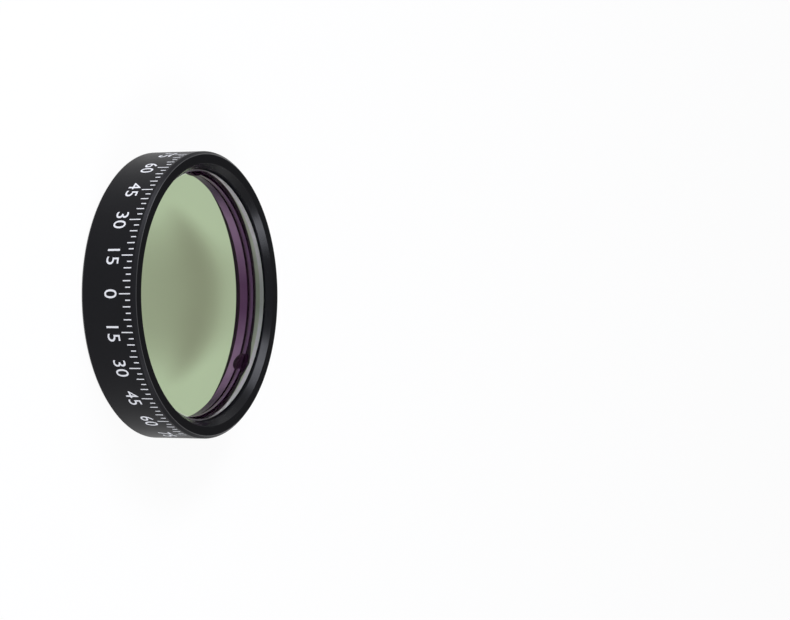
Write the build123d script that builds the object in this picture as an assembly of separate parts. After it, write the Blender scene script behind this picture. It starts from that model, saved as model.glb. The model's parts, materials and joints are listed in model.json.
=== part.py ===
from build123d import *
import os

# Round plano-convex cylindrical lens bonded into a plain ring cell.
# The origin is the centre of the cell's rear face, +Z is the optical axis towards the curved face,
# and X is the direction in which the curved face is straight. Every length is in millimetres.

# Lens
lens_diameter = 25.4
centre_thickness = 2.75
focal_length = 500.0
glass_index = 1.5168
protective_bevel = 0.15

# Cell, outside and in front of the lens
outer_bevel = 0.28
lens_clearance = 0.1
front_recess = 0.75
front_mouth_width = 0.47
front_mouth_depth = 0.65
rim_width = 1.23

# Cell, behind the lens: the land that the lens sits on, a relief groove, and the rear bore
land_reach = 0.45
land_thickness = 0.45
groove_width = 0.3
groove_depth = 0.3
rear_bore_step = 0.35
rear_bore_length = 0.9
rear_mouth_bevel = 1.05

# Adhesive drops, each in a pocket that interrupts the land
drop_count = 3
first_drop_angle = -33.5
pocket_width = 1.9
drop_width = 2.6
drop_bulge = 0.25
drop_above_seat = 0.7
drop_below_seat = 1.4

# Sizes that follow from the ones above
lens_radius = lens_diameter / 2
bore_radius = lens_radius + lens_clearance
front_mouth_radius = bore_radius + front_mouth_width
cell_radius = front_mouth_radius + rim_width
land_radius = lens_radius - land_reach
rear_bore_radius = lens_radius - rear_bore_step
groove_radius = rear_bore_radius + groove_depth
rear_mouth_radius = rear_bore_radius + rear_mouth_bevel
groove_base = rear_mouth_bevel + rear_bore_length
land_base = groove_base + groove_width
seat_height = land_base + land_thickness
crown_height = seat_height + centre_thickness
cell_length = crown_height + front_recess
curve_radius = focal_length * (glass_index - 1)
drop_pitch = 360 / drop_count


def make_ring():
    """The turned ring: its half section on the XZ plane, revolved about the optical axis."""
    section = [
        (rear_mouth_radius, 0),
        (cell_radius - outer_bevel, 0),
        (cell_radius, outer_bevel),
        (cell_radius, cell_length - outer_bevel),
        (cell_radius - outer_bevel, cell_length),
        (front_mouth_radius, cell_length),
        (bore_radius, cell_length - front_mouth_depth),
        (bore_radius, seat_height),
        (land_radius, seat_height),
        (land_radius, land_base),
        (groove_radius, land_base),
        (groove_radius, groove_base),
        (rear_bore_radius, groove_base),
        (rear_bore_radius, rear_mouth_bevel),
    ]
    half_section = make_face(Plane.XZ * Polyline(*section, close=True))
    return revolve(half_section, Axis.Z)


def make_land_pocket(angle):
    """What one pocket takes out of the land: a round bite that ends flush with the bore's wall."""
    bore_core = Circle(bore_radius)
    bite = Rot(0, 0, angle) * Pos(land_radius, 0) * Circle(pocket_width / 2)
    return Pos(0, 0, land_base) * extrude(bore_core & bite, land_thickness)


def drop_angles():
    """Angles of the pockets and drops about the optical axis, evenly spaced."""
    return [first_drop_angle + drop_pitch * index for index in range(drop_count)]


def make_lens_cell():
    """The ring with its land opened at each pocket."""
    cell = make_ring()
    for angle in drop_angles():
        cell -= make_land_pocket(angle)
    return cell


def make_cylindrical_lens():
    """A round blank, its top cut to a shallow cylinder along X, with both rims bevelled."""
    blank_height = 2 * centre_thickness
    blank = Pos(0, 0, seat_height) * extrude(Circle(lens_radius), blank_height)
    curve_place = Location((0, 0, crown_height - curve_radius), (0, 90, 0))
    lens = blank & curve_place * Cylinder(curve_radius, 2 * lens_diameter)
    rims = lens.edges().filter_by(lambda edge: edge.length > lens_diameter)
    return chamfer(rims, protective_bevel)


def make_bond_drop(angle, cell, lens):
    """An ellipsoid centred on the bore's wall, without the space that the cell and lens fill."""
    half_depth = bore_radius - land_radius + drop_bulge
    half_height = (drop_above_seat + drop_below_seat) / 2
    centre_height = seat_height + (drop_above_seat - drop_below_seat) / 2
    ellipsoid = scale(Sphere(1), by=(half_depth, drop_width / 2, half_height))
    return Rot(0, 0, angle) * Pos(bore_radius, 0, centre_height) * ellipsoid - cell - lens


def make_bond_drops(cell, lens):
    """All the drops as separate solids in one group."""
    return Compound(children=[make_bond_drop(angle, cell, lens) for angle in drop_angles()])


def write_node(node, shape):
    """Write one node of the assembly to its own file."""
    export_step(shape, os.path.join("parts", node + ".step"))


os.makedirs("parts", exist_ok=True)
lens_cell = make_lens_cell()
cylindrical_lens = make_cylindrical_lens()
write_node("lens_cell", lens_cell)
write_node("cylindrical_lens", cylindrical_lens)
write_node("bond_drops", make_bond_drops(lens_cell, cylindrical_lens))
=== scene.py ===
"""Looks of a round cylindrical lens in its black ring cell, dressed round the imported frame.

Lengths are metres. The part lies on its rear face: +Z is the optical axis, towards the curved face, and X is
the direction in which that face is straight. Angles about the axis are in degrees, from +X towards +Y.
"""

import json
import logging
import math
from dataclasses import dataclass
from enum import Enum
from typing import Any

import bmesh
import bpy
import numpy as np
from mathutils import Matrix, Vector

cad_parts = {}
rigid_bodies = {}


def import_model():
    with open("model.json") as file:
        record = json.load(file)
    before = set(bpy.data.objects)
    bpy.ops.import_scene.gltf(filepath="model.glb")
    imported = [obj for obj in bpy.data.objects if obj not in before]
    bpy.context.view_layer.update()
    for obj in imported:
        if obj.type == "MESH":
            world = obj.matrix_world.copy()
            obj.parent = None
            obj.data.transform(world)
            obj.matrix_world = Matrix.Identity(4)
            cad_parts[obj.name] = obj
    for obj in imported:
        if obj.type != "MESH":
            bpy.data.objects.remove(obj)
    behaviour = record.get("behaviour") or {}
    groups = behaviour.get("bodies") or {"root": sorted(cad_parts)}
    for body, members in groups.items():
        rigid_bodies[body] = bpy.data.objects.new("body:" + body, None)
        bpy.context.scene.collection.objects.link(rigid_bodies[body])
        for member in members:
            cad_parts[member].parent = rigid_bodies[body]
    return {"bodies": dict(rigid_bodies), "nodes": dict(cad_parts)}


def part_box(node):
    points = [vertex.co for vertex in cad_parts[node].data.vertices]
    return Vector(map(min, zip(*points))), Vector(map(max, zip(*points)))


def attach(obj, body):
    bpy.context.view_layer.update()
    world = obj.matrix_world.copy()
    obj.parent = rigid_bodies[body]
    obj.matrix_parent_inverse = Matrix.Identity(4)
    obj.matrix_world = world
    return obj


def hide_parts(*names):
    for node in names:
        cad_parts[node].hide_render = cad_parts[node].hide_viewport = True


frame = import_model()

log = logging.getLogger("lens_scene")

MM = 0.001
BODY = next(iter(frame["bodies"]))
DROP_COUNT = 3
FIRST_DROP_ANGLE = -33.5
DROP_ANGLES = tuple(FIRST_DROP_ANGLE + 360 / DROP_COUNT * index for index in range(DROP_COUNT))
NOISE_MIDDLE = 0.5
GUARDS_PER_CORNER = 2

# Numbers of a colour Mix node's factor, of its two colours and of its result
COLOUR_MIX_SOCKETS = (0, 6, 7, 2)

Colour = tuple[float, float, float]
WHITE: Colour = (1.0, 1.0, 1.0)


class GlassZone(Enum):
    """The finish that a face of the glass wears, by material slot."""

    POLISHED = 0
    GROUND = 1


class RingZone(Enum):
    """The finish that a face of the ring wears, by material slot."""

    WALL = 0
    FACE = 1
    MOUTH = 2
    RECESS = 3
    INNER = 4
    LAND = 5
    EDGE = 6


class Role(Enum):
    """Which side of the part a light bank stands on, with its name in the scene."""

    UPPER_BANK = "upper_light_bank"
    LOWER_BANK = "lower_light_bank"


@dataclass
class Surface:
    """A mesh in the making: points, quads and triangles by point number, and each face's material slot."""

    points: np.ndarray
    faces: list[np.ndarray]
    slots: np.ndarray | None = None

    def to_object(self, name: str, materials: list[bpy.types.Material],
                  sharp_above: float = 30.0) -> bpy.types.Object:
        """Make a Blender object at the origin from this surface.

        Args:
            name: the object's name.
            materials: the materials, in slot order.
            sharp_above: edges that turn by more degrees than this are shaded sharp.

        Returns:
            The new object, linked to the scene.
        """
        mesh = bpy.data.meshes.new(name)
        faces = [face for block in self.faces for face in block.tolist()]
        mesh.from_pydata(self.points.tolist(), [], faces)
        for material in materials:
            mesh.materials.append(material)
        if self.slots is not None:
            mesh.polygons.foreach_set("material_index", self.slots.astype(np.int32))
        mesh.shade_smooth()
        mesh.set_sharp_from_angle(angle=math.radians(sharp_above))
        mesh.update()
        made = bpy.data.objects.new(name, mesh)
        bpy.context.scene.collection.objects.link(made)
        return made


def mesh_points(mesh: bpy.types.Mesh) -> np.ndarray:
    """The points of a mesh.

    Args:
        mesh: the mesh.

    Returns:
        Its points, three numbers in a row.
    """
    flat = np.empty(3 * len(mesh.vertices), dtype=np.float32)
    mesh.vertices.foreach_get("co", flat)
    return flat.reshape(-1, 3).astype(float)


def grid_quads(rows: int, columns: int, close_rows: bool, close_columns: bool) -> np.ndarray:
    """Quads that join neighbours on a grid whose point number is row times columns plus column.

    Args:
        rows: number of rows of points.
        columns: number of points in a row.
        close_rows: whether the last row joins the first.
        close_columns: whether the last column joins the first.

    Returns:
        An array of quads, four point numbers each.
    """
    row = np.arange(rows if close_rows else rows - 1)[:, None]
    column = np.arange(columns if close_columns else columns - 1)[None, :]
    next_row, next_column = (row + 1) % rows, (column + 1) % columns
    corners = (row * columns + column, next_row * columns + column,
               next_row * columns + next_column, row * columns + next_column)
    return np.stack(np.broadcast_arrays(*corners), axis=-1).reshape(-1, 4)


def ring_points(angles: np.ndarray, radius: np.ndarray, height: np.ndarray) -> np.ndarray:
    """Points of a turned form: (radius cos angle, radius sin angle, height), one row for each angle.

    Args:
        angles: the angle of each row, in radians.
        radius: radius of each point, as rows by columns or as one row for all angles.
        height: height of each point, likewise.

    Returns:
        The points as one long array.
    """
    turn = angles[:, None]
    shape = (len(angles), np.atleast_2d(radius).shape[1])
    spread_radius = np.broadcast_to(np.atleast_2d(radius), shape)
    spread_height = np.broadcast_to(np.atleast_2d(height), shape)
    points = np.stack([spread_radius * np.cos(turn), spread_radius * np.sin(turn), spread_height], axis=-1)
    return points.reshape(-1, 3)


def round_corners(corners: np.ndarray, radius: float, steps: int, guard: float) -> np.ndarray:
    """Round the corners of a closed outline with tangent arcs.

    At a corner whose sides turn by angle a, the arc starts radius times tan(a / 2) before the corner, and its
    centre lies radius / cos(a / 2) from the corner, inside the turn. One more point stands a guard length
    beyond each end of the arc, so that the flats beside it are shaded flat.

    Args:
        corners: the outline's corner points, two numbers each.
        radius: the radius of every arc.
        steps: the number of spans in an arc.
        guard: the length between an arc and the point beside it.

    Returns:
        The rounded outline's points.
    """
    made = []
    for before, here, after in zip(np.roll(corners, 1, axis=0), corners, np.roll(corners, -1, axis=0)):
        inward, outward = before - here, after - here
        inward, outward = inward / np.linalg.norm(inward), outward / np.linalg.norm(outward)
        half_turn = (math.pi - math.acos(float(np.clip(inward @ outward, -1, 1)))) / 2
        cut = radius * math.tan(half_turn)
        middle = (inward + outward) / np.linalg.norm(inward + outward)
        centre = here + middle * radius / math.cos(half_turn)
        start, end = here + inward * cut - centre, here + outward * cut - centre
        share = np.linspace(0, 1, steps + 1)[:, None]
        arc = start * np.sin((1 - share) * 2 * half_turn) + end * np.sin(share * 2 * half_turn)
        arc = centre + arc / math.sin(2 * half_turn)
        made += [here[None] + inward * (cut + guard), arc, here[None] + outward * (cut + guard)]
    return np.concatenate(made)


class Shade:
    """A socket of a node tree, or a number, that can be used in plain arithmetic."""

    def __init__(self, tree: "Tree", socket: Any) -> None:
        """Hold a socket or a number of a tree."""
        self.tree = tree
        self.socket = socket

    def _math(self, operation: str, *others: Any) -> "Shade":
        """A Math node on this value and others."""
        return self.tree.node("ShaderNodeMath", {"operation": operation}, dict(enumerate((self, *others))))

    def __add__(self, other: Any) -> "Shade":
        """This plus other."""
        return self._math("ADD", other)

    __radd__ = __add__

    def __sub__(self, other: Any) -> "Shade":
        """This minus other."""
        return self._math("SUBTRACT", other)

    def __rsub__(self, other: Any) -> "Shade":
        """Other minus this."""
        return Shade(self.tree, other)._math("SUBTRACT", self)

    def __mul__(self, other: Any) -> "Shade":
        """This times other."""
        return self._math("MULTIPLY", other)

    __rmul__ = __mul__

    def __truediv__(self, other: Any) -> "Shade":
        """This divided by other."""
        return self._math("DIVIDE", other)

    def __pow__(self, other: Any) -> "Shade":
        """This to the power of other."""
        return self._math("POWER", other)

    def size(self) -> "Shade":
        """This without its sign."""
        return self._math("ABSOLUTE")

    def clamp(self) -> "Shade":
        """This, held between 0 and 1."""
        return self.tree.node("ShaderNodeClamp", {}, {0: self})

    def either(self, other: Any) -> "Shade":
        """The larger of this and other."""
        return self._math("MAXIMUM", other)

    def above(self, other: Any) -> "Shade":
        """1 where this is larger than other, and 0 elsewhere."""
        return self._math("GREATER_THAN", other)


class Tree:
    """The node tree of a new material or of the world, with one way to add a node."""

    def __init__(self, node_tree: bpy.types.NodeTree) -> None:
        """Take over a node tree and empty it."""
        self.tree = node_tree
        self.tree.nodes.clear()

    @classmethod
    def of_material(cls, name: str) -> tuple["Tree", bpy.types.Material]:
        """Start a new material.

        Args:
            name: the material's name.

        Returns:
            Its tree, and the material.
        """
        material = bpy.data.materials.new(name)
        material.use_nodes = True
        return cls(material.node_tree), material

    def node(self, kind: str, settings: dict[str, Any], inputs: dict[Any, Any], output: Any = 0) -> Shade:
        """Add a node.

        Args:
            kind: the node's type.
            settings: its properties, set first.
            inputs: values or links of its input sockets, by name or number.
            output: name or number of the output to return.

        Returns:
            The output as a Shade.
        """
        made = self.tree.nodes.new(kind)
        for name, value in settings.items():
            setattr(made, name, value)
        for name, value in inputs.items():
            value = value.socket if isinstance(value, Shade) else value
            if isinstance(value, bpy.types.NodeSocket):
                self.tree.links.new(value, made.inputs[name])
            elif isinstance(value, tuple) and len(value) == 3 and made.inputs[name].type == "RGBA":
                made.inputs[name].default_value = (*value, 1)
            else:
                made.inputs[name].default_value = value
        return Shade(self, made.outputs[output] if len(made.outputs) else made)

    def place(self) -> Shade:
        """The point's place in the piece, in metres."""
        return self.node("ShaderNodeTexCoord", {}, {}, "Object")

    def parts_of(self, vector: Shade) -> tuple[Shade, Shade, Shade]:
        """The x, y and z of a vector."""
        split = self.node("ShaderNodeSeparateXYZ", {}, {0: vector}).socket.node
        return tuple(Shade(self, output) for output in split.outputs)

    def radius(self, vector: Shade) -> Shade:
        """Distance of a point from the optical axis: the length of (x, y, 0)."""
        flat = self.node("ShaderNodeVectorMath", {"operation": "MULTIPLY"}, {0: vector, 1: (1, 1, 0)})
        return self.node("ShaderNodeVectorMath", {"operation": "LENGTH"}, {0: flat}, "Value")

    def noise(self, vector: Shade, scale: float, detail: float = 3.0, roughness: float = 0.5) -> Shade:
        """Soft noise between 0 and 1, with scale features in a metre."""
        return self.node("ShaderNodeTexNoise", {}, {"Vector": vector, "Scale": scale, "Detail": detail,
                                                     "Roughness": roughness})

    def sideways(self, vector: Shade) -> Shade:
        """How far round from the X direction a point lies: the size of y over its distance from the axis."""
        return self.parts_of(vector)[1].size() / self.radius(vector)

    def turned_marks(self, vector: Shade, pitch: float) -> Shade:
        """Noise that changes only along the radius and the height, like the tool marks of a turned face.

        Args:
            vector: the point's place.
            pitch: the distance between marks.

        Returns:
            The noise, between 0 and 1.
        """
        height = self.parts_of(vector)[2]
        track = self.node("ShaderNodeCombineXYZ", {}, {0: self.radius(vector), 1: height, 2: 0.0})
        return self.noise(track, 1 / pitch, detail=2.0)

    def mix(self, share: Any, first: Colour | Shade, second: Colour | Shade) -> Shade:
        """A colour between first, at share 0, and second, at share 1."""
        factor, start, end, result = COLOUR_MIX_SOCKETS
        return self.node("ShaderNodeMix", {"data_type": "RGBA"},
                         {factor: share, start: first, end: second}, result)

    def blend(self, share: Any, first: Shade, second: Shade) -> Shade:
        """A shader between first, at share 0, and second, at share 1."""
        return self.node("ShaderNodeMixShader", {}, {0: share, 1: first, 2: second})

    def bump(self, height: Shade, depth: float) -> Shade:
        """A Bump node's normal for a height between 0 and 1 that stands for depth in metres."""
        return self.node("ShaderNodeBump", {}, {"Height": height, "Distance": depth, "Strength": 1.0})

    def seen_directly(self) -> Shade:
        """Tell what is seen from what only gives light.

        Returns:
            1 for what the camera, a reflection or the glass shows, and 0 elsewhere.
        """
        path = self.node("ShaderNodeLightPath", {}, {}).socket.node.outputs
        seen = Shade(self, path["Is Camera Ray"]).either(Shade(self, path["Is Glossy Ray"]))
        return seen.either(Shade(self, path["Is Transmission Ray"]))

    def principled(self, **inputs: Any) -> Shade:
        """A Principled shader, with underscores for the spaces in its socket names."""
        sockets = {name.replace("_", " "): value for name, value in inputs.items()}
        return self.node("ShaderNodeBsdfPrincipled", {}, sockets)

    def finish(self, shader: Shade, kind: str = "ShaderNodeOutputMaterial") -> None:
        """Join a shader to the tree's output."""
        self.node(kind, {}, {"Surface": shader})


@dataclass(frozen=True)
class AnodisedFinish:
    """Black anodising on turned aluminium, with painted light in the colours of some zones of the ring.

    A painted side sheen, where there is one, takes over half-way round between the X and the Y direction, and
    a painted end shade nearer to the Y direction. Each takes over by its slope times how far a point lies
    past its start.
    """

    name: str
    # In the recess, inner wall, land and edge zones, black and worn hold painted light.
    black: Colour
    worn: Colour
    roughness: float
    specular_level: float
    metallic: float = 0.0
    side_colour: Colour | None = None
    side_start: float = 0.1
    side_slope: float = 2.2
    end_colour: Colour = (0.09, 0.035, 0.16)
    end_start: float = 0.64
    end_slope: float = 4.5
    end_clouding: float = 0.8
    mark_pitch: float = 0.09 * MM
    mark_depth: float = 0.0012 * MM
    mark_share: float = 0.4
    mark_dulling: float = 0.06
    cloud_size: float = 2.2 * MM
    cloud_dulling: float = 0.10

    def make(self) -> bpy.types.Material:
        """Make a black that varies softly, with fine tool marks round the axis.

        Returns:
            The material.
        """
        tree, material = Tree.of_material(self.name)
        place = tree.place()
        marks = tree.turned_marks(place, self.mark_pitch)
        clouds = tree.noise(place, 1 / self.cloud_size)
        wear = clouds * (1 - self.mark_share) + marks * self.mark_share
        colour = tree.mix(wear.clamp(), self.black, self.worn)
        clouding, marking = clouds - NOISE_MIDDLE, marks - NOISE_MIDDLE
        if self.side_colour:
            # Painted sheen, paler at the sides, and painted shade, darker near the Y direction.
            sideways = tree.sideways(place)
            painted_light_share = (sideways - self.side_start) * self.side_slope
            painted_shade_share = (sideways - self.end_start) * self.end_slope + clouding * self.end_clouding
            colour = tree.mix(painted_light_share.clamp(), colour, self.side_colour)
            colour = tree.mix(painted_shade_share.clamp(), colour, self.end_colour)
        roughness = self.roughness + clouding * self.cloud_dulling + marking * self.mark_dulling
        shader = tree.principled(Base_Color=colour, Roughness=roughness, Metallic=self.metallic,
                                 Specular_IOR_Level=self.specular_level,
                                 Normal=tree.bump(marks, self.mark_depth))
        tree.finish(shader)
        return material


RING_FINISHES = {
    RingZone.WALL: AnodisedFinish(
        "anodised_outer_wall", black=(0.0055, 0.0055, 0.0066), worn=(0.0085, 0.0085, 0.0100),
        roughness=0.40, specular_level=0.09),
    RingZone.FACE: AnodisedFinish(
        "anodised_flat_face", black=(0.0040, 0.0040, 0.0045), worn=(0.0062, 0.0062, 0.0070),
        roughness=0.55, specular_level=0.015),
    RingZone.MOUTH: AnodisedFinish(
        "anodised_bevel", black=(0.0018, 0.0020, 0.0032), worn=(0.0030, 0.0032, 0.0050),
        roughness=0.26, specular_level=0.12),
    # Darker than the wall: painted shade in the recesses by the seat and the groove.
    RingZone.RECESS: AnodisedFinish(
        "recess_painted_shade", black=(0.0016, 0.0014, 0.0018), worn=(0.0026, 0.0022, 0.0028),
        roughness=0.60, specular_level=0.01),
    # Purple here is painted sheen, paler at the sides, with painted shade near the Y direction.
    RingZone.INNER: AnodisedFinish(
        "inner_wall_painted_sheen", black=(0.24, 0.085, 0.33), worn=(0.32, 0.12, 0.44),
        roughness=0.32, specular_level=0.16, metallic=0.36, side_colour=(0.66, 0.32, 0.88)),
    # Purple here is painted sheen along the land.
    RingZone.LAND: AnodisedFinish(
        "land_painted_sheen", black=(0.15, 0.07, 0.19), worn=(0.20, 0.10, 0.25),
        roughness=0.32, specular_level=0.20, metallic=0.36),
    # Lighter than the wall: a painted highlight line along the front edge, with a glossier shader.
    RingZone.EDGE: AnodisedFinish(
        "front_edge_painted_highlight", black=(0.020, 0.020, 0.022), worn=(0.035, 0.035, 0.037),
        roughness=0.34, specular_level=0.36, metallic=0.12),
}


@dataclass(frozen=True)
class CoatedGlassFinish:
    """Polished optical glass under an antireflection coating: green looked through, purple in reflection."""

    # The middle's deeper green is painted shade, which fades to the rim's paler green of the glass.
    middle: Colour = (0.491, 0.529, 0.421)
    rim: Colour = (0.655, 0.730, 0.590)
    bare: Colour = (0.90, 0.90, 0.95)
    coated_radius: float = 12.25 * MM
    coating_offset: float = -0.6 * MM
    coating_fade: float = 0.20 * MM
    reflection: Colour = (0.80, 0.28, 0.78)
    index: float = 1.5168
    coating_share: float = 0.11
    total_reflection: float = 0.999
    core_along: float = 0.8 * MM
    core_curving: float = 0.07 / MM
    core_width: float = 3.4 * MM
    forward_share: float = 0.85
    back_share: float = 0.45
    reach_across: float = 9.6 * MM
    cloud_size: float = 9.0 * MM
    cloud_share: float = 0.16

    def tinted(self, tree: Tree, tint: Colour) -> Shade:
        """Clear glass that bends light and gives it a tint."""
        return tree.node("ShaderNodeBsdfRefraction", {},
                         {"Color": tint, "Roughness": 0.0, "IOR": self.index})

    def make(self) -> bpy.types.Material:
        """Make clear glass with a painted shade that deepens its green in the middle.

        A painted shade deepens the green most along a curved core, x = shade core along - curving y^2.
        With d the distance from it along X, s is light share d^2 / (d^2 + core width^2) + (size of y / reach
        across)^3 plus soft noise, and the light share is larger forward than back. The rim's paler tint,
        where the painted shade fades, has the share s^2 (3 - 2 s).
        Outside the coated radius, where a holder covered the glass a little off centre, it is nearly clear.
        The coating leaves a small share of the bare glass's reflection, and that is purple. Where the bare
        glass would reflect everything, as it does for flat angles inside, the coated glass does too, without
        a tint.

        Returns:
            The material.
        """
        tree, material = Tree.of_material("coated_optical_glass")
        place = tree.place()
        along, across, _ = tree.parts_of(place)
        clouds = tree.noise(place, 1 / self.cloud_size, detail=1.0)
        from_shade_core = along - self.core_along + across ** 2.0 * self.core_curving
        painted_light_share = from_shade_core.above(0.0) * (self.forward_share - self.back_share) + self.back_share
        squared = from_shade_core ** 2.0
        bend = squared / (squared + self.core_width ** 2.0)
        across_share = (across.size() / self.reach_across) ** 3.0
        plain = (painted_light_share * bend + across_share + (clouds - NOISE_MIDDLE) * self.cloud_share).clamp()
        share = plain * plain * (3.0 - plain * 2.0)
        coated_place = tree.node("ShaderNodeVectorMath", {"operation": "SUBTRACT"},
                                 {0: place, 1: (self.coating_offset, 0, 0)})
        uncoated = ((tree.radius(coated_place) - self.coated_radius) / self.coating_fade).clamp()
        # Painted shade: the middle's deeper green, fading to the rim's tint by the share.
        coated = tree.blend(share, self.tinted(tree, self.middle), self.tinted(tree, self.rim))
        through = tree.blend(uncoated, coated, self.tinted(tree, self.bare))
        bare_share = tree.node("ShaderNodeFresnel", {}, {"IOR": self.index})
        total = bare_share.above(self.total_reflection)
        mirror = tree.principled(Base_Color=tree.mix(total, self.reflection, WHITE), Metallic=1.0,
                                 Roughness=0.0)
        reflected = (bare_share * self.coating_share).either(total)
        tree.finish(tree.blend(reflected, through, mirror))
        return material


@dataclass(frozen=True)
class GroundGlassFinish:
    """Fine-ground glass at the lens's round edge and its bevels, with painted light round it, dark near the
    seat.
    """

    # The step from dark to pale round the edge is painted light.
    pale: Colour = (1.00, 0.94, 1.00)
    dark: Colour = (0.46, 0.47, 0.46)
    pale_start: float = 0.08
    pale_slope: float = 2.2
    grain_share: float = 0.12
    wetted: Colour = (0.012, 0.010, 0.013)
    wet_height: float = 0.11 * MM
    wet_side_height: float = 0.85 * MM
    patch_height: float = 1.30 * MM
    patch_taper: float = 0.45
    wet_fade: float = 0.10 * MM
    grain: float = 0.05 * MM
    grain_depth: float = 0.004 * MM
    roughness: float = 0.45
    specular_level: float = 0.5

    def make(self) -> bpy.types.Material:
        """Make a frosted grey with a fine grain, with painted light that makes it paler away from the X
        direction.

        It is dark up to a height above the seat, which grows with the square of the distance round,
        and in a patch at each adhesive drop, whose height falls by the taper times the distance from it.

        Returns:
            The material.
        """
        tree, material = Tree.of_material("fine_ground_glass")
        place = tree.place()
        low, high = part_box("cylindrical_lens")
        height = tree.parts_of(place)[2] - low.z
        grain = tree.noise(place, 1 / self.grain, detail=4.0, roughness=0.7)
        sideways = tree.sideways(place)
        above_dark = ((height - sideways ** 2.0 * self.wet_side_height - self.wet_height) / self.wet_fade).clamp()
        for angle in DROP_ANGLES:
            turn = math.radians(angle)
            middle = (high.x * math.cos(turn), high.x * math.sin(turn), low.z)
            from_drop = tree.node("ShaderNodeVectorMath", {"operation": "SUBTRACT"}, {0: place, 1: middle})
            above_patch = height + tree.radius(from_drop) * self.patch_taper - self.patch_height
            above_dark = above_dark * (above_patch / self.wet_fade).clamp()
        # Painted light: the edge is paler, as if better lit, further round from the X direction.
        painted_light = ((sideways - self.pale_start) * self.pale_slope).clamp()
        painted_light = painted_light + (grain - NOISE_MIDDLE) * self.grain_share
        colour = tree.mix(above_dark, self.wetted, tree.mix(painted_light.clamp(), self.dark, self.pale))
        shader = tree.principled(Base_Color=colour, Roughness=self.roughness,
                                 Specular_IOR_Level=self.specular_level,
                                 Normal=tree.bump(grain, self.grain_depth))
        tree.finish(shader)
        return material


@dataclass(frozen=True)
class AdhesiveFinish:
    """Cured dark adhesive with a smooth skin."""

    dark: Colour = (0.014, 0.001, 0.018)
    pale: Colour = (0.024, 0.003, 0.030)
    dimple: float = 0.6 * MM
    dimple_depth: float = 0.02 * MM
    roughness: float = 0.3
    roughness_spread: float = 0.15
    specular_level: float = 0.06

    def make(self) -> bpy.types.Material:
        """Make a near black that is slightly uneven.

        Returns:
            The material.
        """
        tree, material = Tree.of_material("dark_adhesive")
        clouds = tree.noise(tree.place(), 1 / self.dimple)
        colour = tree.mix(clouds, self.dark, self.pale)
        shader = tree.principled(Base_Color=colour, Roughness=self.roughness + clouds * self.roughness_spread,
                                 Specular_IOR_Level=self.specular_level,
                                 Normal=tree.bump(clouds, self.dimple_depth))
        tree.finish(shader)
        return material


@dataclass(frozen=True)
class EngravingFinish:
    """Bright marks burnt into the anodising."""

    bright: Colour = (0.86, 0.86, 0.86)
    dull: Colour = (0.66, 0.66, 0.67)
    grain: float = 0.12 * MM
    grain_depth: float = 0.002 * MM
    roughness: float = 0.8
    specular_level: float = 0.2

    def make(self) -> bpy.types.Material:
        """Make a chalky white with a fine grain.

        Returns:
            The material.
        """
        tree, material = Tree.of_material("white_engraving")
        grain = tree.noise(tree.place(), 1 / self.grain)
        colour = tree.mix(grain, self.dull, self.bright)
        shader = tree.principled(Base_Color=colour, Roughness=self.roughness,
                                 Specular_IOR_Level=self.specular_level,
                                 Normal=tree.bump(grain, self.grain_depth))
        tree.finish(shader)
        return material


@dataclass(frozen=True)
class PaperFinish:
    """The white sweep that the part lies on."""

    white: Colour = (0.97, 0.97, 0.97)
    glow: float = 0.93

    def make(self) -> bpy.types.Material:
        """Make white paper, part of whose white is its own where it is seen, for soft shadows.

        Returns:
            The material.
        """
        tree, material = Tree.of_material("white_paper")
        paper = tree.node("ShaderNodeBsdfDiffuse", {}, {"Color": self.white})
        share = tuple(channel * (1 - self.glow) for channel in self.white)
        dimmed = tree.node("ShaderNodeBsdfDiffuse", {}, {"Color": share})
        own = tree.node("ShaderNodeEmission", {}, {"Color": WHITE, "Strength": self.glow})
        shown = tree.node("ShaderNodeAddShader", {}, {0: dimmed, 1: own})
        tree.finish(tree.blend(tree.seen_directly(), paper, shown))
        return material


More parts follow.
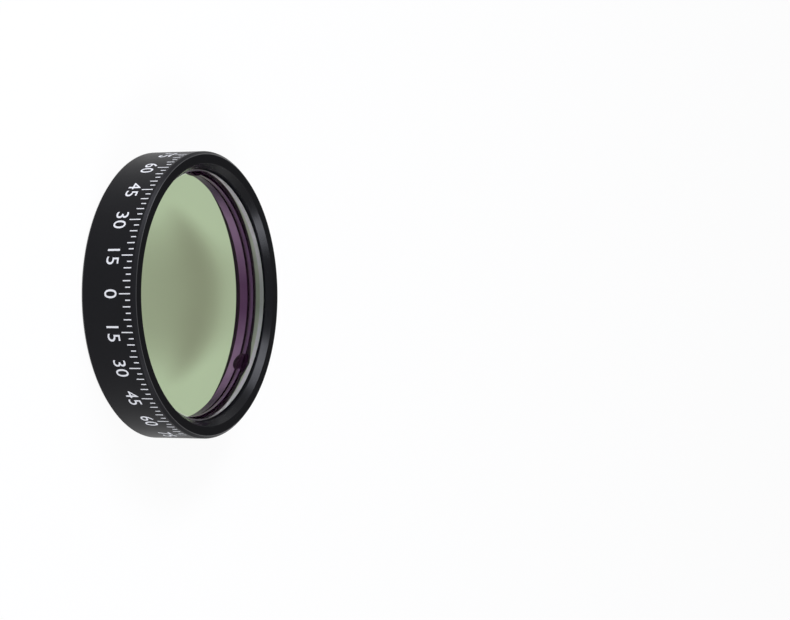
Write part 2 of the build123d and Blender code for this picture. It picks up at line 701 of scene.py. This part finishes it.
@dataclass
class RingCell:
    """The black ring: its sizes, its turned form and its seat land with pockets."""

    bore_radius: float = 12.8 * MM
    front_mouth_width: float = 0.47 * MM
    front_mouth_depth: float = 0.65 * MM
    outer_bevel: float = 0.28 * MM
    land_radius: float = 12.25 * MM
    land_thickness: float = 0.45 * MM
    land_least: float = 0.01 * MM
    groove_radius: float = 12.65 * MM
    groove_width: float = 0.3 * MM
    rear_bore_radius: float = 12.35 * MM
    rear_mouth_bevel: float = 1.05 * MM
    pocket_radius: float = 0.95 * MM
    edge_round: float = 0.05 * MM
    edge_steps: int = 4
    edge_guard: float = 0.02 * MM
    sharp_above: float = 40.0
    turns: int = 720

    def __post_init__(self) -> None:
        """Take the outer size and the seat's height from the frame."""
        low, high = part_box("lens_cell")
        self.radius = high.x
        self.length = high.z - low.z
        self.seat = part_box("cylindrical_lens")[0].z

    def section(self) -> np.ndarray:
        """The half section's outline, with every corner rounded.

        Returns:
            Its points as (radius, height), counter-clockwise from the rear mouth.
        """
        outer, bevel, land_base = self.radius, self.outer_bevel, self.seat - self.land_thickness
        groove_base = land_base - self.groove_width
        corners = [
            (self.rear_bore_radius + self.rear_mouth_bevel, 0), (outer - bevel, 0), (outer, bevel),
            (outer, self.length - bevel), (outer - bevel, self.length),
            (self.bore_radius + self.front_mouth_width, self.length),
            (self.bore_radius, self.length - self.front_mouth_depth), (self.bore_radius, self.seat),
            (self.land_radius, self.seat), (self.land_radius, land_base), (self.groove_radius, land_base),
            (self.groove_radius, groove_base), (self.rear_bore_radius, groove_base),
            (self.rear_bore_radius, self.rear_mouth_bevel),
        ]
        return round_corners(np.array(corners), self.edge_round, self.edge_steps, self.edge_guard)

    def land_inner(self, angles: np.ndarray) -> np.ndarray:
        """Radius of the land's inner wall at each angle.

        Outside the pockets it is the land's own radius. A pocket is a round bite centred on the land's inner
        wall, so at angle a from its middle it ends at land cos a + sqrt(bite squared - (land sin a) squared).

        Args:
            angles: the angles, in radians.

        Returns:
            The radius at each.
        """
        inner = np.full(len(angles), self.land_radius)
        for middle in np.radians(DROP_ANGLES):
            away = np.arctan2(np.sin(angles - middle), np.cos(angles - middle))
            room = self.pocket_radius ** 2 - (self.land_radius * np.sin(away)) ** 2
            bitten = self.land_radius * np.cos(away) + np.sqrt(np.maximum(room, 0))
            inside = (room > 0) & (np.abs(away) < math.pi / 2)
            inner = np.where(inside, np.minimum(bitten, self.bore_radius - self.land_least), inner)
        return inner

    def span_zones(self) -> np.ndarray:
        """The finish of each span of the rounded outline.

        Each side of the section has its finish, which goes on round half of the corner at each end. The
        corner between the front bevel and the front face has one of its own, a painted highlight line. A
        corner gives the points of its arc and its guards.

        Returns:
            The material slot of each span.
        """
        sides = [RingZone.FACE, RingZone.WALL, RingZone.WALL, RingZone.WALL, RingZone.FACE, RingZone.MOUTH,
                 RingZone.MOUTH, RingZone.RECESS, RingZone.LAND, RingZone.RECESS, RingZone.RECESS,
                 RingZone.RECESS, RingZone.INNER, RingZone.RECESS]
        corner_points = self.edge_steps + 1 + GUARDS_PER_CORNER
        spans = np.arange(len(sides) * corner_points)
        side = spans // corner_points - (spans % corner_points < corner_points // 2)
        zones = np.array([zone.value for zone in sides])[side]
        # The corner at the front edge wears the painted highlight line.
        bright_corner = sides.index(RingZone.FACE, 1) * corner_points
        zones[bright_corner:bright_corner + corner_points - 1] = RingZone.EDGE.value
        return zones

    def build(self, finishes: list[bpy.types.Material]) -> bpy.types.Object:
        """Make the ring as one turned surface.

        The radius of a point on the land is stretched between the land's inner wall at that angle and the
        bore, and every other point keeps the section's radius.

        Args:
            finishes: the materials, in the order of the zones.

        Returns:
            The ring.
        """
        section = self.section()
        angles = np.linspace(0, 2 * math.pi, self.turns, endpoint=False)
        inner = self.land_inner(angles)[:, None]
        reach = self.bore_radius - self.land_radius
        share = np.clip((self.bore_radius - section[:, 0]) / reach, 0, 1)
        on_land = section[:, 1] > self.seat - self.land_thickness - self.edge_guard
        share = (share * on_land)[None, :]
        radius = section[None, :, 0] + share * (inner - self.land_radius)
        points = ring_points(angles, radius, section[:, 1])
        quads = grid_quads(self.turns, len(section), close_rows=True, close_columns=True)
        slots = np.tile(self.span_zones(), self.turns)
        return Surface(points, [quads], slots).to_object("ring_cell", finishes, self.sharp_above)


@dataclass
class CylindricalLens:
    """The glass: a round plano-convex lens whose front is curved across Y only."""

    focal_length: float = 500.0 * MM
    glass_index: float = 1.5168
    bevel: float = 0.15 * MM
    face_rings: int = 48
    turns: int = 720

    def __post_init__(self) -> None:
        """Take the glass's outer size from the frame."""
        low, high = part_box("cylindrical_lens")
        self.radius = high.x
        self.seat, self.crown = low.z, high.z
        self.curve = self.focal_length * (self.glass_index - 1)

    def front_height(self, angles: np.ndarray, radius: np.ndarray) -> np.ndarray:
        """Height of the front face: the crown less the drop of a circle of the curve's radius at y."""
        across = radius[None, :] * np.sin(angles[:, None])
        return self.crown - self.curve + np.sqrt(self.curve ** 2 - across ** 2)

    def build(self, polished: bpy.types.Material, ground: bpy.types.Material) -> bpy.types.Object:
        """Make the glass as one closed surface.

        Each angle has a row of points: out across the rear face, over the rear bevel, up the edge, over the
        front bevel and in across the front face. The two centres are single points, joined by triangles.

        Args:
            polished: the finish of the two faces.
            ground: the finish of the edge and the bevels.

        Returns:
            The lens.
        """
        angles = np.linspace(0, 2 * math.pi, self.turns, endpoint=False)
        rim = self.radius - self.bevel
        outward = np.linspace(0, rim, self.face_rings + 1)[1:]
        inward = outward[::-1]
        edge = np.array([self.radius, self.radius])
        rear = np.full((self.turns, len(outward)), self.seat)
        front = self.front_height(angles, inward)
        rear_edge = np.full((self.turns, 1), self.seat + self.bevel)
        front_edge = front[:, :1] - self.bevel
        radius = np.concatenate([outward, edge, inward])
        height = np.concatenate([rear, rear_edge, front_edge, front], axis=1)
        points = ring_points(angles, radius, height)
        columns = len(radius)
        quads = grid_quads(self.turns, columns, close_rows=True, close_columns=False)
        zone = np.full(columns - 1, GlassZone.POLISHED.value)
        zone[len(outward) - 1:len(outward) + len(edge)] = GlassZone.GROUND.value
        centres = np.array([[0, 0, self.seat], [0, 0, self.crown]])
        rear_centre, front_centre = len(points), len(points) + 1
        here = np.arange(self.turns) * columns
        after = np.roll(here, -1)
        rear_fan = np.stack([np.full(self.turns, rear_centre), after, here], axis=1)
        last = columns - 1
        front_fan = np.stack([here + last, after + last, np.full(self.turns, front_centre)], axis=1)
        slots = np.concatenate([np.tile(zone, self.turns), np.full(2 * self.turns, GlassZone.POLISHED.value)])
        whole = Surface(np.concatenate([points, centres]), [quads, rear_fan, front_fan], slots)
        return whole.to_object("plano_convex_lens", [polished, ground])


@dataclass
class EngravedScale:
    """A plain angle scale on the ring's outer wall, each side of a zero on the lens's straight direction."""

    middle: float = 180.0
    reach: float = 75.0
    fine_step: float = 2.5
    medium_step: float = 5.0
    number_step: float = 15.0
    top: float = 5.68 * MM
    fine_length: float = 0.55 * MM
    medium_length: float = 0.85 * MM
    number_length: float = 1.25 * MM
    line_width: float = 0.11 * MM
    digit_height: float = 1.38 * MM
    digit_top: float = 4.15 * MM
    digit_spacing: float = 1.08
    proud: float = 0.006 * MM
    depth: float = 0.02 * MM
    slice_width: float = 0.16 * MM
    type_size: float = 1.0
    type_half_depth: float = 0.5
    weld_distance: float = 1e-5

    def __post_init__(self) -> None:
        """Take the wall's radius from the frame."""
        self.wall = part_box("lens_cell")[1].x

    def wrap(self, flat: np.ndarray, angle: float) -> np.ndarray:
        """Wrap flat points round the wall.

        A point (along, up, out) goes to angle + along / wall radius, at height up and radius wall + out.

        Args:
            flat: the points.
            angle: the angle of along 0.

        Returns:
            The wrapped points.
        """
        turn = math.radians(angle) + flat[:, 0] / self.wall
        radius = self.wall + flat[:, 2]
        return np.stack([radius * np.cos(turn), radius * np.sin(turn), flat[:, 1]], axis=1)

    def bar(self, angle: float, width: float, low: float, high: float) -> tuple[np.ndarray, np.ndarray]:
        """A closed curved bar on the wall.

        Args:
            angle: the angle of its middle.
            width: its length along the wall.
            low: its lowest height.
            high: its highest height.

        Returns:
            Its points and quads.
        """
        spans = max(1, math.ceil(width / self.slice_width))
        along = np.linspace(-width / 2, width / 2, spans + 1)
        loop = np.array([(low, -self.depth), (low, self.proud), (high, self.proud), (high, -self.depth)])
        count = len(loop)
        flat = np.concatenate([np.repeat(along, count)[:, None], np.tile(loop, (spans + 1, 1))], axis=1)
        quads = grid_quads(spans + 1, count, close_rows=False, close_columns=True)
        first_cap = np.arange(count)
        caps = np.stack([first_cap, (first_cap + count * spans)[::-1]])
        return self.wrap(flat, angle), np.concatenate([quads[:, ::-1], caps])

    def ticks(self) -> Surface:
        """The scale's fine, medium and number lines, down from the top height.

        Returns:
            All the lines as one surface.
        """
        offsets = np.arange(-self.reach, self.reach + self.fine_step / 2, self.fine_step)
        points, quads, start = [], [], 0
        for offset in offsets:
            if offset % self.number_step == 0:
                length = self.number_length
            elif offset % self.medium_step == 0:
                length = self.medium_length
            else:
                length = self.fine_length
            angle, low = self.middle + offset, self.top - length
            bar_points, bar_quads = self.bar(angle, self.line_width, low, self.top)
            points.append(bar_points)
            quads.append(bar_quads + start)
            start += len(bar_points)
        return Surface(np.concatenate(points), [np.concatenate(quads)])

    def flat_number(self, text: str) -> bpy.types.Mesh:
        """A plain number in the XY plane, centred, as a thick form.

        Args:
            text: the number.

        Returns:
            Its mesh.
        """
        curve = bpy.data.curves.new("number", "FONT")
        curve.body, curve.align_x, curve.align_y = text, "CENTER", "CENTER"
        curve.space_character = self.digit_spacing
        curve.size, curve.extrude = self.type_size, self.type_half_depth
        flat_object = bpy.data.objects.new("number", curve)
        mesh = bpy.data.meshes.new_from_object(flat_object)
        bpy.data.objects.remove(flat_object)
        bpy.data.curves.remove(curve)
        return mesh

    def number(self, text: str, angle: float, finish: bpy.types.Material) -> bpy.types.Object:
        """A plain number wrapped round the wall, welded and sliced first so that it can follow the curve.

        Args:
            text: the number.
            angle: the angle of its middle.
            finish: the engraving's material.

        Returns:
            The number's object.
        """
        mesh = self.flat_number(text)
        form = bmesh.new()
        form.from_mesh(mesh)
        bmesh.ops.remove_doubles(form, verts=form.verts, dist=self.weld_distance)
        form.to_mesh(mesh)
        points = mesh_points(mesh)
        low, high = points.min(0), points.max(0)
        scale = self.digit_height / (high[1] - low[1])
        cuts = np.arange(low[0] * scale, high[0] * scale, self.slice_width)[1:] / scale
        for cut in cuts:
            bmesh.ops.bisect_plane(form, geom=[*form.verts, *form.edges, *form.faces],
                                   plane_co=(float(cut), 0, 0), plane_no=(1, 0, 0))
        form.to_mesh(mesh)
        form.free()
        points = mesh_points(mesh)
        outward = (points[:, 2] + self.type_half_depth) / (2 * self.type_half_depth)
        out = -self.depth + outward * (self.depth + self.proud)
        up = (points[:, 1] - high[1]) * scale + self.digit_top
        wrapped = self.wrap(np.stack([points[:, 0] * scale, up, out], axis=1), angle)
        mesh.vertices.foreach_set("co", wrapped.astype(np.float32).ravel())
        mesh.materials.append(finish)
        mesh.update()
        made = bpy.data.objects.new("number", mesh)
        bpy.context.scene.collection.objects.link(made)
        return made

    def build(self, finish: bpy.types.Material) -> list[bpy.types.Object]:
        """Make the scale's lines and its numbers.

        Args:
            finish: the engraving's material.

        Returns:
            The lines as one object, then each number.
        """
        made = [self.ticks().to_object("scale_lines", [finish])]
        for offset in np.arange(-self.reach, self.reach + self.number_step / 2, self.number_step):
            number = self.number(str(int(abs(offset))), self.middle + offset, finish)
            number.name = f"scale_number_{int(offset + self.reach):03d}"
            made.append(number)
        return made


@dataclass
class PhotoCamera:
    """The photograph's viewpoint: it looks down on the part from the -X side, with +Y up in the picture."""

    yaw: float = 63.54
    pitch: float = -0.23
    aside: float = -24.23 * MM
    above: float = 1.512 * MM
    distance: float = 305.4 * MM
    focal_pixels: float = 3000.0
    image_width: float = 790.0
    sensor_width: float = 36.0
    clip_start: float = 10 * MM

    def build(self) -> None:
        """Make the camera and make it the scene's.

        The part is turned about the picture's upright by yaw and about its level by pitch, then set aside,
        above and at the distance. The camera's place and axes are that motion's inverse.
        """
        yaw, pitch = math.radians(self.yaw), math.radians(self.pitch)
        face = np.diag([1.0, -1.0, -1.0])
        about_upright = np.array([[math.cos(yaw), 0, -math.sin(yaw)], [0, 1, 0],
                                  [math.sin(yaw), 0, math.cos(yaw)]])
        about_level = np.array([[1, 0, 0], [0, math.cos(pitch), -math.sin(pitch)],
                                [0, math.sin(pitch), math.cos(pitch)]])
        turn = about_level @ about_upright @ face
        place = -turn.T @ np.array([self.aside, -self.above, self.distance])
        axes = turn.T @ face
        data = bpy.data.cameras.new("photo_camera")
        data.sensor_width = self.sensor_width
        data.lens = self.focal_pixels * self.sensor_width / self.image_width
        data.clip_start = self.clip_start
        camera = bpy.data.objects.new("photo_camera", data)
        whole = np.eye(4)
        whole[:3, :3], whole[:3, 3] = axes, place
        camera.matrix_world = Matrix(whole.tolist())
        bpy.context.scene.collection.objects.link(camera)
        bpy.context.scene.camera = camera


@dataclass(frozen=True)
class Bank:
    """A soft light bank: its side, the direction it stands in, its width and height, and its brightness."""

    role: Role
    direction: tuple[float, float, float]
    size: tuple[float, float]
    radiance: float
    distance: float = 0.38
    tone: Colour = (0.88, 0.90, 1.0)

    def build(self) -> None:
        """Make the bank, level, facing the part. An area light's power is radiance times area times pi."""
        light = bpy.data.lights.new(self.role.value, "AREA")
        light.shape = "RECTANGLE"
        light.size, light.size_y = self.size
        light.color = self.tone
        light.energy = self.radiance * self.size[0] * self.size[1] * math.pi
        back = np.array(self.direction) / np.linalg.norm(self.direction)
        right = np.cross([0.0, 0.0, 1.0], back)
        right /= np.linalg.norm(right)
        whole = np.eye(4)
        whole[:3, :3] = np.stack([right, np.cross(back, right), back], axis=1)
        whole[:3, 3] = back * self.distance
        bank = bpy.data.objects.new(self.role.value, light)
        bank.matrix_world = Matrix(whole.tolist())
        bpy.context.scene.collection.objects.link(bank)


BANKS = (
    Bank(Role.UPPER_BANK, direction=(-0.28, 0.72, 0.58), size=(0.30, 0.08), radiance=18.0),
    Bank(Role.LOWER_BANK, direction=(-0.38, -0.73, 0.57), size=(0.16, 0.08), radiance=18.0),
)


@dataclass
class Studio:
    """Plain soft light: a white world, a white floor, and two light banks with a gap between them."""

    world_light: float = 0.26
    floor_reach: float = 1.5
    floor_rings: tuple[float, float, float] = (0.02, 0.2, 1.0)
    floor_sides: int = 96

    def add_world(self) -> None:
        """White to the camera and in reflections and glass, and dimmer as a source of light."""
        world = bpy.data.worlds.new("white_world")
        bpy.context.scene.world = world
        world.use_nodes = True
        tree = Tree(world.node_tree)
        strength = self.world_light + (1 - self.world_light) * tree.seen_directly()
        shader = tree.node("ShaderNodeBackground", {}, {"Color": WHITE, "Strength": strength})
        tree.finish(shader, "ShaderNodeOutputWorld")

    def add_floor(self) -> None:
        """The floor: a round white sheet at the height that the part lies on."""
        angles = np.linspace(0, 2 * math.pi, self.floor_sides, endpoint=False)
        radius = np.array(self.floor_rings) * self.floor_reach
        points = ring_points(angles, radius, np.zeros(len(radius)))
        quads = grid_quads(len(angles), len(radius), close_rows=True, close_columns=False)
        inner = np.arange(len(angles))[None, :] * len(radius)
        floor = Surface(points, [quads[:, ::-1], inner]).to_object("floor", [PaperFinish().make()])

    def build(self) -> None:
        """Set up the world, the floor and the lights."""
        self.add_world()
        self.add_floor()
        for bank in BANKS:
            bank.build()
        bpy.context.scene.view_settings.view_transform = "Standard"


@dataclass
class MountedLens:
    """The whole part: the ring, the glass, the adhesive drops and the scale."""

    cell: RingCell
    lens: CylindricalLens
    scale: EngravedScale

    def dress(self, piece: bpy.types.Object, replaces: str | None = None) -> None:
        """Fix a piece to the part's body and report it.

        Args:
            piece: the piece.
            replaces: the node that it stands for, if any.
        """
        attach(piece, BODY)
        if replaces:
            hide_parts(replaces)
        log.info("%s: %d faces", piece.name, len(piece.data.polygons))

    def build(self) -> None:
        """Build and dress every piece."""
        ring_finishes = [RING_FINISHES[zone].make() for zone in RingZone]
        self.dress(self.cell.build(ring_finishes), "lens_cell")
        glass = self.lens.build(CoatedGlassFinish().make(), GroundGlassFinish().make())
        self.dress(glass, "cylindrical_lens")
        drops = frame["nodes"]["bond_drops"]
        drops.data.materials.clear()
        drops.data.materials.append(AdhesiveFinish().make())
        log.info("bond_drops: %d faces", len(drops.data.polygons))
        for piece in self.scale.build(EngravingFinish().make()):
            self.dress(piece)


def main() -> None:
    """Build the part, the studio and the camera."""
    logging.basicConfig(level=logging.INFO, format="%(name)s: %(message)s")
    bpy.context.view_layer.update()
    MountedLens(RingCell(), CylindricalLens(), EngravedScale()).build()
    Studio().build()
    PhotoCamera().build()


if __name__ == "__main__":
    main()
